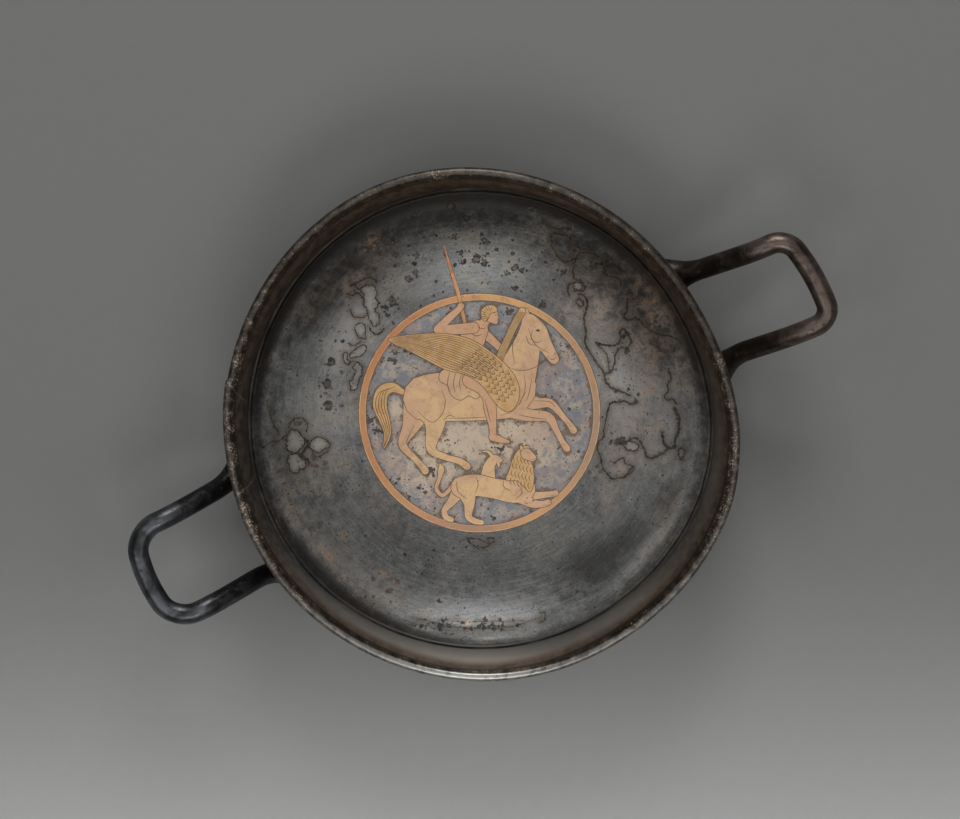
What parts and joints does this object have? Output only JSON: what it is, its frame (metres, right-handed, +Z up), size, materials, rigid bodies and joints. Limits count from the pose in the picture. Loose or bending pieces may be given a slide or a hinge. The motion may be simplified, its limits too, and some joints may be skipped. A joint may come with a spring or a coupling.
{
  "type": "silver kylix",
  "caption": "Shallow silver drinking cup with an offset flaring lip, a looped handle on each side, a low foot ring and a gilded figure scene in a ring on its floor.",
  "frame": {"origin": "centre of the foot ring's underside, where the cup stands", "axes": "+X along the line of the handles, towards the handle at the upper right of the picture; +Y across it; +Z up through the mouth"},
  "size_m": [0.1986, 0.138, 0.0335],
  "materials": {
    "bowl_silver": "tarnished silver, dark grey with brown patches, gilded on the floor",
    "handle_silver": "dark tarnished silver, worn bright on the edges",
    "foot_silver": "tarnished silver"
  },
  "bodies": {
    "root": {"bowl": "bowl_silver", "handle_right": "handle_silver", "handle_left": "handle_silver", "foot_ring": "foot_silver"}
  },
  "joints": []
}
